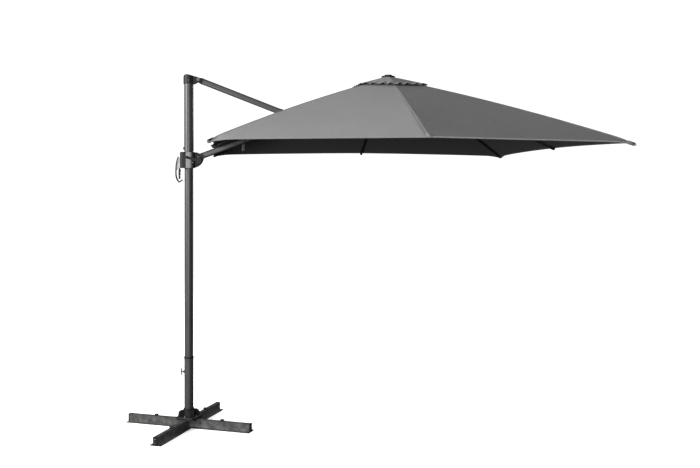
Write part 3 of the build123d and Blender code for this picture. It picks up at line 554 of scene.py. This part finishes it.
for i in range(8):
    corner = i % 2 == 1
    ridge = [ridgePoint(i, s / 20, 0) for s in range(21)]
    run = sum((b - a).length for a, b in zip(ridge, ridge[1:]))
    hemShare = 1 - hemWidth / (run * (0.72 if corner else 1))

    def goreAt(x, y):
        return clothPoint(i, x, openShare + (1 - openShare) * y, 0)

    gore, area = clothPiece(
        f"canopy_gore_{i}", i, goreAt, canopy["across"], canopy["along"],
        lambda x, y: (x * halfWide * y, run * y), [looks["cloth"], shadedUnderCloth], canopy["thick"],
    )
    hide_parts("canopy")
    extras = []

    def hemCut(x, y):
        return (hemWidth * y, x * halfWide)

    def hemAt(x, y):
        return clothPoint(i, x, hemShare + (1 - hemShare) * y, layer)

    hem, _ = clothPiece(
        f"hem_{i}", i, hemAt, canopy["across"], 3, hemCut, [hemCloth], sewing["hemThick"],
    )
    extras.append(hem)

    def underHemAt(x, y):
        return clothPoint(i, x, hemShare + (1 - hemShare) * y, -0.0013)

    under, _ = clothPiece(
        f"hem_under_{i}", i, underHemAt, canopy["across"], 3, hemCut, [hemCloth, shadedUnderHem],
        sewing["hemThick"],
    )
    extras.append(under)

    # flat-felled seam over the rib
    def seamAt(x, y):
        share = openShare + (hemShare - openShare) * y
        hemR = canopy["half"] * (1.414 if corner else 1)
        width = (hemR - canopy["hingeR"]) * share * (0.35 if corner else 0.41)
        return clothPoint(i, x * sewing["seamHalf"] / max(width, 0.02), share, layer)

    seam, _ = clothPiece(
        f"seam_{i}", i, seamAt, 6, 60,
        lambda x, y: (x * sewing["seamHalf"], run * y), [seamCloth], layer,
    )
    extras.append(seam)
    if i == 4:
        def bindingAt(x, y):
            return clothPoint(i, x * 0.3, 0.35 + 0.40 * y, 0.0010)

        binding, _ = clothPiece(
            "strut_binding", i, bindingAt, 20, 40, lambda x, y: (0.15 * x, 0.5 * y), [pocketCloth],
            sewing["bindingThick"],
        )
        extras.append(binding)

    # stitched pocket that holds the rib's end
    pocketShare = 1 - canopy["pocketLength"] / run
    pocketSide = canopy["pocketWidth"] / (canopy["half"] * (0.70 if corner else 0.83))

    def pocketAt(x, y):
        point = clothPoint(i, x * pocketSide, pocketShare + (1.0 - pocketShare) * y, 0.0021)
        swell = 0.0035 * (1 - x * x) * math.sin(math.pi * min(1.0, 0.15 + y * 0.85))
        pucker = 0.0008 * math.sin(9 * x + 5 * y)
        point.z += swell + pucker
        return point

    pocket, _ = clothPiece(
        f"rib_pocket_{i}", i, pocketAt, 14, 12,
        lambda x, y: (canopy["pocketWidth"] * x, canopy["pocketLength"] * y), [pocketCloth], layer,
    )
    extras.append(pocket)
    for piece in (gore, *extras):
        closeUp(piece, i)
    size = (sewing["cornerCut"] if corner else sewing["midCut"], run)
    declareSheet(size, area)
print("canopy cloth made")


# vent cap: a small second roof with a gathered edge
vent = dict(
    half=0.241,
    innerR=0.026,
    lift=0.0145,
    ruffle=0.008,
    scallop=0.007,
    across=48,
    along=26,
    hem=0.012,
    cutHalf=0.098,
    cutLength=0.21,
    midCut=(0.20, 0.215),  # given, not measured: the sheets are 0.23 by 0.24
    cornerCut=(0.28, 0.30),  # and 0.17 by 0.31
)
ventHemShare = (vent["half"] - canopy["hingeR"]) / (canopy["half"] - canopy["hingeR"])
ventInner = (vent["innerR"] - canopy["hingeR"]) / (canopy["half"] - canopy["hingeR"])


def ventPoint(i, side, y, lift):
    share = ventInner + (ventHemShare - ventInner) * y
    a = clothPoint(i, side, share, vent["lift"] + lift, arch=0)
    edge = max(0.0, (y - 0.55) / 0.45) ** 1.6
    beat = math.sin(math.pi * 2 * abs(side)) ** 2 * (1.0 + 0.35 * math.sin(2.3 * i + side))
    crease = math.cos(math.pi * 6 * side) * 0.25
    a.z += vent["ruffle"] * edge * (beat + crease)
    outward = Vector((a.x - hub.x, a.y - hub.y, 0))
    if outward.length > 1e-6:
        a += outward.normalized() * (vent["scallop"] * edge * (beat - 1))
    return a


for i in range(8):
    piece, area = clothPiece(
        f"vent_gore_{i}", i, lambda x, y: ventPoint(i, x, y, 0), vent["across"], vent["along"],
        lambda x, y: (x * vent["cutHalf"] * y, vent["cutLength"] * y), [looks["cloth"], shadedUnderCloth],
        canopy["thick"],
    )
    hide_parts("vent_cap")
    band, _ = clothPiece(
        f"vent_hem_{i}", i, lambda x, y: ventPoint(i, x, 0.94 + 0.06 * y, layer), vent["across"], 3,
        lambda x, y: (vent["hem"] * y, x * vent["cutHalf"]), [hemCloth], layer,
    )
    for part in (piece, band):
        closeUp(part, i)
    size = vent["midCut"] if i % 2 == 0 else vent["cornerCut"]
    declareSheet(size, area)
print("vent cap made")


# fittings on the canopy frame
def standOn(mesh, place, axis):
    turn = Vector(axis).to_track_quat("Z", "Y").to_matrix().to_4x4()
    bmesh.ops.transform(mesh, matrix=Matrix.Translation(Vector(place)) @ turn, verts=mesh.verts)


def roundEdges(mesh, width, segments=3, over=0.5):
    edges = [edge for edge in mesh.edges if edge.calc_face_angle(0) > over]
    bmesh.ops.bevel(
        mesh, geom=edges, offset=width, segments=segments, profile=0.5, affect="EDGES", material=-1)


def liftFaces(mesh, faces, offset):
    shell = bmesh.ops.extrude_face_region(mesh, geom=faces)
    verts = [item for item in shell["geom"] if isinstance(item, bmesh.types.BMVert)]
    bmesh.ops.translate(mesh, vec=offset, verts=verts)
    return [item for item in shell["geom"] if isinstance(item, bmesh.types.BMFace)]


def disc(mesh, radius, height, lift=0.0, segments=28, taper=1.0):
    ring = bmesh.ops.create_circle(mesh, cap_ends=True, segments=segments, radius=radius)
    face = ring["verts"][0].link_faces[0]
    bmesh.ops.translate(mesh, vec=(0, 0, lift), verts=ring["verts"])
    top = liftFaces(mesh, [face], (0, 0, height))
    if taper != 1.0:
        centre = Matrix.Translation(-top[0].calc_center_median())
        bmesh.ops.scale(mesh, vec=(taper, taper, 1), space=centre, verts=top[0].verts)


def hexBolt(name, place, axis, across, height, body, look="pin_steel"):
    # washer, then a six-sided head with its corners turned off
    mesh = bmesh.new()
    disc(mesh, across * 0.74, height * 0.22, segments=32)
    disc(mesh, across * 0.577, height * 0.72, height * 0.2, segments=6)
    disc(mesh, across * 0.40, height * 0.1, height * 0.9, segments=24, taper=0.86)
    roundEdges(mesh, height * 0.06, 2)
    standOn(mesh, place, axis)
    return keep(mesh, name, looks[look], body, smooth=False)


def domeScrew(name, place, axis, radius, height, body, look="pin_steel"):
    # a pan head with a hex socket
    mesh = bmesh.new()
    disc(mesh, radius, height * 0.55, segments=32)
    top = max(mesh.faces, key=lambda face: face.calc_center_median().z)
    for share, rise in ((0.88, 0.22), (0.66, 0.17), (0.42, 0.06)):
        top = liftFaces(mesh, [top], (0, 0, height * rise))[0]
        centre = Matrix.Translation(-top.calc_center_median())
        bmesh.ops.scale(mesh, vec=(share, share, 1), space=centre, verts=top.verts)
    bmesh.ops.inset_individual(mesh, faces=[top], thickness=radius * 0.04)
    liftFaces(mesh, [top], (0, 0, -height * 0.35))
    standOn(mesh, place, axis)
    return keep(mesh, name, looks[look], body)


def block(name, place, axis, size, look, body, edge, pinch):
    # a rounded block, its top a little smaller than its foot
    mesh = bmesh.new()
    made = bmesh.ops.create_cube(mesh, size=1)
    bmesh.ops.scale(mesh, vec=size, verts=made["verts"])
    top = [vert for vert in mesh.verts if vert.co.z > 0]
    bmesh.ops.scale(mesh, vec=(pinch, pinch, 1), verts=top)
    roundEdges(mesh, edge, 4)
    standOn(mesh, place, axis)
    return keep(mesh, name, looks[look], body)


tip = dict(
    width=0.0165,
    height=0.021,
    length=0.036,
    past=0.004,  # how far it stands past the rib
    drop=0.0015,
    under=-0.011,  # from the cloth's line down to the rib's middle
    edge=0.0035,
    screwBack=0.016,
    screwR=0.003,
    screwHeight=0.0016,
)
for i in range(8):
    corner = i % 2 == 1
    hemR = canopy["half"] * (math.sqrt(2) if corner else 1)
    endShare = (hemR - canopy["tipInset"] - canopy["hingeR"]) / (hemR - canopy["hingeR"])
    end = ridgePoint(i, endShare, tip["under"])
    along = (end - ridgePoint(i, 0.96, tip["under"])).normalized()
    middle = end + along * (tip["past"] - tip["length"] / 2) - Vector((0, 0, tip["drop"]))
    mesh = bmesh.new()
    made = bmesh.ops.create_cube(mesh, size=1)
    bmesh.ops.scale(mesh, vec=(tip["width"], tip["height"], tip["length"]), verts=made["verts"])
    roundEdges(mesh, tip["edge"], 4)
    rim = bmesh.ops.create_cube(mesh, size=1)
    bmesh.ops.scale(mesh, vec=(tip["width"] + 0.003, tip["height"] + 0.001, 0.004), verts=rim["verts"])
    bmesh.ops.translate(mesh, vec=(0, 0, -tip["length"] / 2 + 0.003), verts=rim["verts"])
    standOn(mesh, middle, along)
    keep(mesh, f"rib_tip_{i}", looks["black_plastic"], bodyOfRib(i))
    side = Vector((-math.sin(azimuthOf(i)), math.cos(azimuthOf(i)), 0))
    place = end - along * tip["screwBack"] + side * tip["width"] / 2
    domeScrew(f"rib_tip_screw_{i}", place, side, tip["screwR"], tip["screwHeight"], bodyOfRib(i))


# tie strap: a loop of webbing round the boom with its end hanging
strap = dict(x=0.372, width=0.021, thick=0.0016, tail=0.046, halfWide=0.0150, halfTall=0.0222)
boomLine = dict(rise=20.820, footX=0.064, footZ=1.858)  # degrees; where it turns on the slider
slope = math.radians(boomLine["rise"])
boomWay = Vector((math.cos(slope), 0, math.sin(slope)))
loopZ = boomLine["footZ"] + (strap["x"] - boomLine["footX"]) * math.tan(slope)
loopPlace = Vector((strap["x"], 0, loopZ))
mesh = bmesh.new()
bmesh.ops.create_circle(mesh, segments=40, radius=1)
for vert in mesh.verts:
    a = math.atan2(vert.co.y, vert.co.x)
    square = 1 / max(abs(math.cos(a)) ** 4 + abs(math.sin(a)) ** 4, 1e-6) ** 0.25
    vert.co.x *= strap["halfTall"] * square
    vert.co.y *= strap["halfWide"] * square
belt = bmesh.ops.extrude_edge_only(mesh, edges=mesh.edges[:])
beltVerts = [item for item in belt["geom"] if isinstance(item, bmesh.types.BMVert)]
bmesh.ops.translate(mesh, vec=(0, 0, strap["width"]), verts=beltVerts)
bmesh.ops.recalc_face_normals(mesh, faces=mesh.faces)
bmesh.ops.solidify(mesh, geom=mesh.faces[:], thickness=-strap["thick"])
standOn(mesh, loopPlace - boomWay * strap["width"] / 2, boomWay)
strapLayer = mesh.loops.layers.uv.new("cut")
for face in mesh.faces:
    for loop in face.loops:
        flat = (loop.vert.co - loopPlace).dot(boomWay)
        loop[strapLayer].uv = (flat, loop.vert.co.y + loop.vert.co.z)
keep(mesh, "tie_strap_loop", threadCloth, "boom")


def tailAt(x, y):
    down = Vector((0, -0.004 - 0.010 * y * y, -0.0245 - y * strap["tail"]))
    return loopPlace + boomWay * (x * strap["width"] / 2) + down


mesh = sheetMesh(tailAt, 6, 16, lambda x, y: (x * strap["width"] / 2, y * strap["tail"]))
liftFaces(mesh, mesh.faces[:], (0, -strap["thick"], 0))
keep(mesh, "tie_strap_tail", threadCloth, "boom")
print("canopy fittings made")


# slider, head and base fittings
slider = dict(
    frontY=-0.0459,
    backY=0.046,
    frontX=(-0.030, 0.024),
    frontZ=(1.884, 1.794),
    backX=(-0.036, 0.022),
    backZ=(1.802, 1.877),
    lockX=0.030,
    lockZ=1.822,
)
front = [(x, slider["frontY"], z) for z in slider["frontZ"] for x in slider["frontX"]]
back = [(x, slider["backY"], z) for z in slider["backZ"] for x in slider["backX"]]
for k, place in enumerate(front):
    domeScrew(f"slider_screw_front_{k}", place, (0, -1, 0), 0.0036, 0.0022, "slider", "black_plastic")
lockPlace = (slider["lockX"], slider["frontY"], slider["lockZ"])
domeScrew("slider_lock_bolt", lockPlace, (0, -1, 0), 0.0052, 0.0034, "slider")
for k, place in enumerate(back):
    domeScrew(f"slider_screw_back_{k}", place, (0, 1, 0), 0.004, 0.0025, "slider")
sidePins = dict(  # x, distance from the middle plane, z, radius, body
    head_screw=(0.0, 0.0373, 2.386, 0.005, "mast"),
    knee_screw=(0.7688, 0.0253, 2.126, 0.006, "strut"),
    head_pin_cap=(0.064, 0.0290, 2.394, 0.006, "mast"),
)
for k, side in enumerate((-1, 1)):
    for pinName, (x, away, z, radius, body) in sidePins.items():
        domeScrew(f"{pinName}_{k}", (x, side * away, z), (0, side, 0), radius, 0.003, body)

crossBase = dict(
    turn=-24.95,  # degrees from the boom to the first leg
    coverBolt=(0.055, 0.0778),  # distance from the mast and height of each fitting
    legBolt=(0.105, 0.0558),
    stop=(0.250, 0.0622),
    stopScrew=(0.250, 0.0684),
    stopSize=(0.028, 0.020, 0.013),
    capScrewHigh=(0.4638, 0.040),
    capScrewLow=(0.4638, 0.018),
)
for k in range(4):
    a = math.radians(crossBase["turn"]) + math.pi / 2 * k
    outWay = (math.cos(a), math.sin(a), 0)
    upWay = (0, 0, 1)

    def onLeg(fitting):
        r, z = crossBase[fitting]
        return (r * outWay[0], r * outWay[1], z)

    hexBolt(f"cover_bolt_{k}", onLeg("coverBolt"), upWay, 0.013, 0.0075, "base")
    domeScrew(f"leg_bolt_{k}", onLeg("legBolt"), upWay, 0.0075, 0.005, "base")
    block(
        f"leg_stop_{k}", onLeg("stop"), upWay, crossBase["stopSize"],
        "black_plastic", "base", edge=0.003, pinch=0.86)
    domeScrew(f"leg_stop_screw_{k}", onLeg("stopScrew"), upWay, 0.0045, 0.0028, "base")
    domeScrew(f"cap_screw_high_{k}", onLeg("capScrewHigh"), outWay, 0.005, 0.003, "base")
    domeScrew(f"cap_screw_low_{k}", onLeg("capScrewLow"), outWay, 0.005, 0.003, "base")

# seal where the mast tube leaves the hub cover
mesh = bmesh.new()
lip = (  # radius and height round its section
    (0.0318, 0.1246),
    (0.0372, 0.1246),
    (0.0366, 0.1276),
    (0.0345, 0.1296),
    (0.0318, 0.1304),
)
section = [mesh.verts.new((radius, 0, z)) for radius, z in lip]
loop = [mesh.edges.new((section[k], section[(k + 1) % len(lip)])) for k in range(len(lip))]
bmesh.ops.spin(
    mesh, geom=section + loop, cent=(0, 0, 0), axis=(0, 0, 1),
    angle=2 * math.pi, steps=48, use_merge=True)
bmesh.ops.remove_doubles(mesh, verts=mesh.verts, dist=1e-6)
keep(mesh, "neck_seal", looks["black_plastic"], "base")
print("slider and base fittings made")


# floor
floorMesh = bmesh.new()
bmesh.ops.create_grid(floorMesh, x_segments=8, y_segments=8, size=studio["floorSize"] / 2)
floorData = bpy.data.meshes.new("floor")
floorMesh.to_mesh(floorData)
floorMesh.free()
floor = bpy.data.objects.new("floor", floorData)
view.collection.objects.link(floor)
floorFinish = Finish(
    "paleFloor", Roughness=0.9, Specular_IOR_Level=0.1,
    Emission_Color=(1, 1, 1, 1), Emission_Strength=0.34)
cloud = floorFinish.grain(floorFinish.own(), 0.4, 2.0)
floorFinish.feed(Base_Color=floorFinish.blendOf(cloud, grey(0.88), grey(0.92)))
floorData.materials.append(floorFinish.material)
floor.visible_diffuse = False
floor.visible_glossy = False
